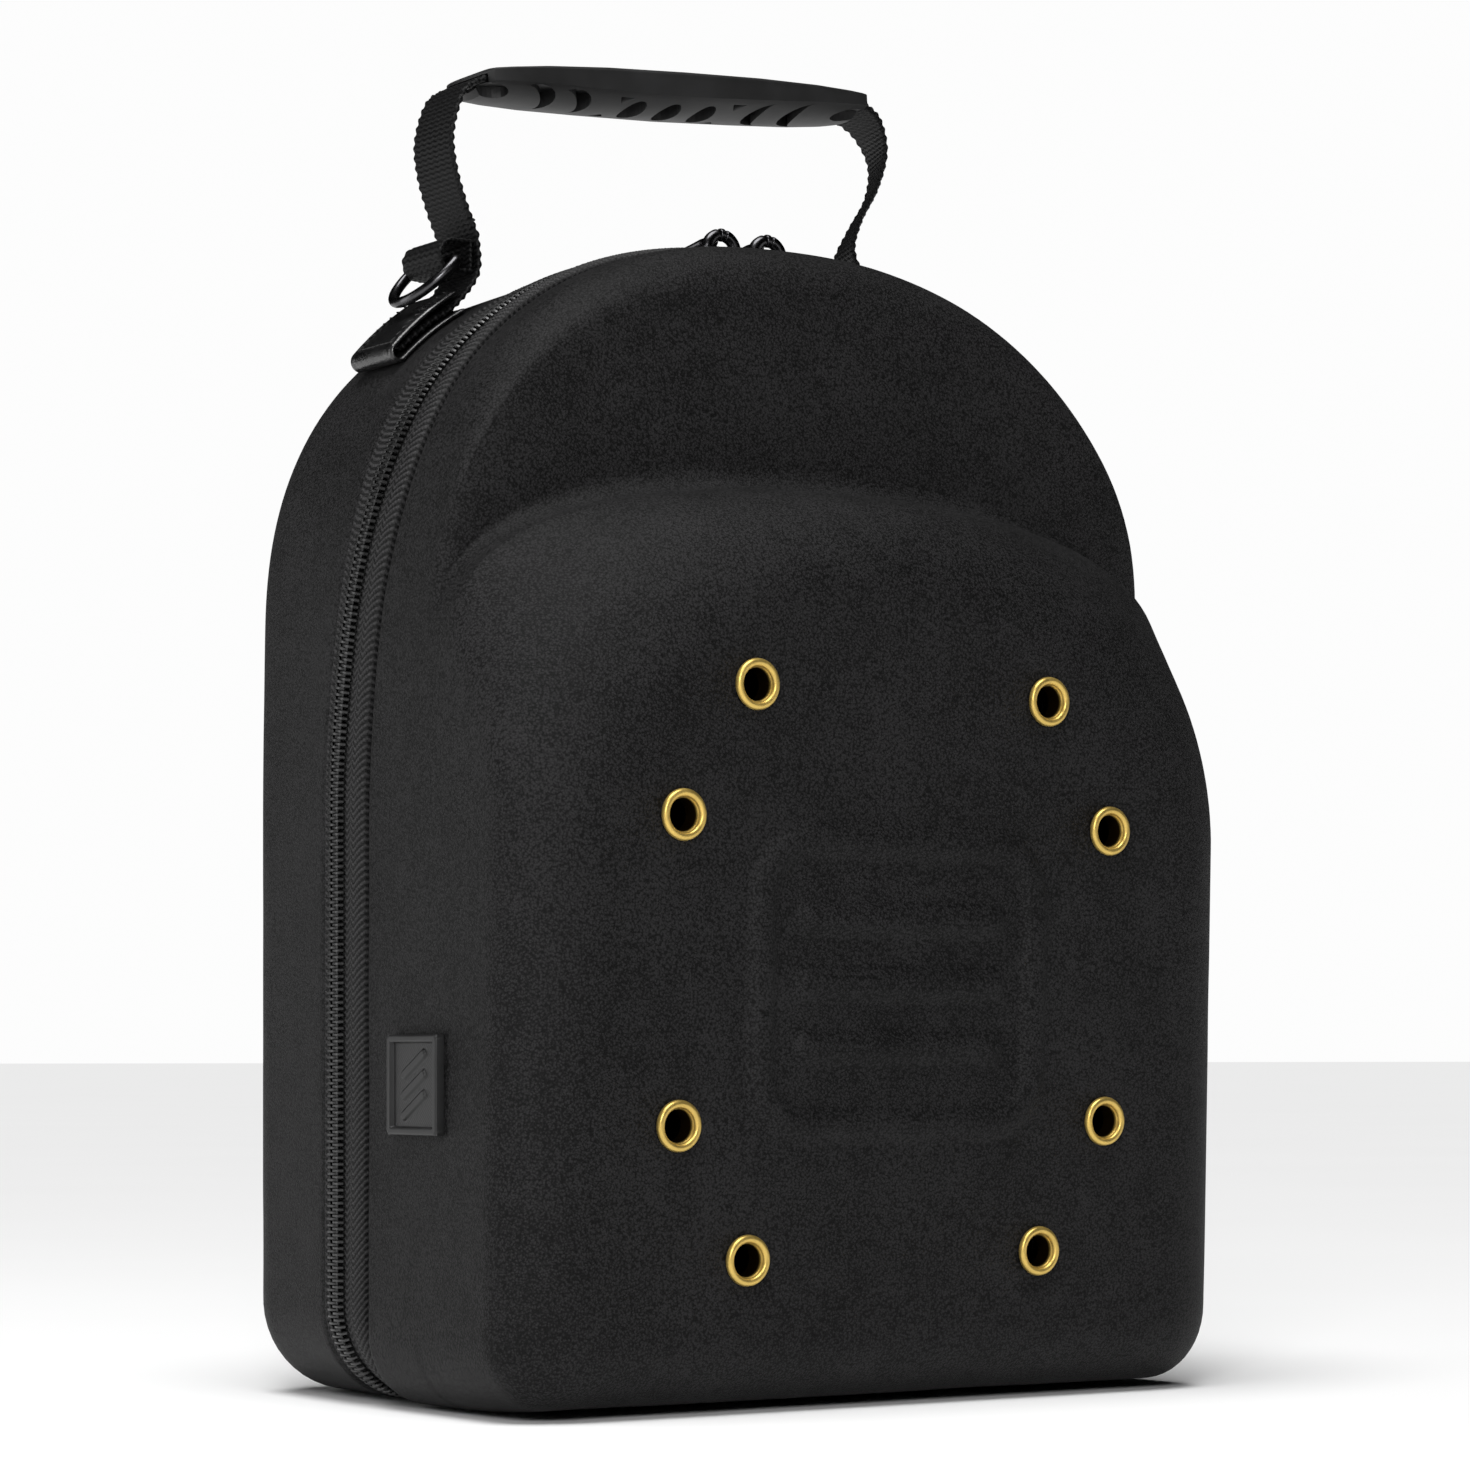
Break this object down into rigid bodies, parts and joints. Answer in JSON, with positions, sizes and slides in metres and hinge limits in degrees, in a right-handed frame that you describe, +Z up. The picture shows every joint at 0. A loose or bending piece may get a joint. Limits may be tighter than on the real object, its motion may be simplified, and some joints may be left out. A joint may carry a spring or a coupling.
{
  "type": "cap carrier case",
  "caption": "Hard moulded carrying case for baseball caps: D-shaped zipped shells with a raised crown, brass vent eyelets and a webbing handle with a rubber grip.",
  "frame": {"origin": "on the ground under the middle of the case's bounding box", "axes": "+Z up, the crown and eyelets face -Y, the flat back faces +Y, the width runs along X"},
  "size_m": [0.2277, 0.15, 0.357],
  "materials": {
    "moulded_cloth": "fine black cloth over moulded foam",
    "zip_tape": "black herringbone tape",
    "zip_coil_nylon": "black nylon coil",
    "brass": "polished",
    "rubber": "satin black",
    "webbing": "ribbed black webbing",
    "leather": "glossy black",
    "black_nickel": "black nickel plated"
  },
  "bodies": {
    "case": {"back_shell": "moulded_cloth", "front_shell": "moulded_cloth", "zip_tape_back": "zip_tape", "zip_coil": "zip_coil_nylon", "zip_tape_front": "zip_tape", "eyelet_1": "brass", "eyelet_2": "brass", "eyelet_3": "brass", "eyelet_4": "brass", "eyelet_5": "brass", "eyelet_6": "brass", "eyelet_7": "brass", "eyelet_8": "brass", "side_badge": "rubber", "handle_strap": "webbing", "handle_grip": "rubber", "tab_left": "leather", "tab_right": "leather", "ring_loop_left": "webbing", "ring_loop_right": "webbing", "d_ring_left": "black_nickel", "d_ring_right": "black_nickel", "slider_left": "black_nickel", "slider_right": "black_nickel"},
    "pull_left": {"pull_left": "black_nickel"},
    "pull_right": {"pull_right": "black_nickel"}
  },
  "joints": [
    {"name": "pull_left_swing", "type": "hinge", "parent": "case", "child": "pull_left", "pos_m": [-0.0034, 0.00452, 0.3064], "axis": [1, 0, 0], "range_deg": [0, 150]},
    {"name": "pull_right_swing", "type": "hinge", "parent": "case", "child": "pull_right", "pos_m": [0.0115, 0.00452, 0.3064], "axis": [1, 0, 0], "range_deg": [0, 150]}
  ]
}
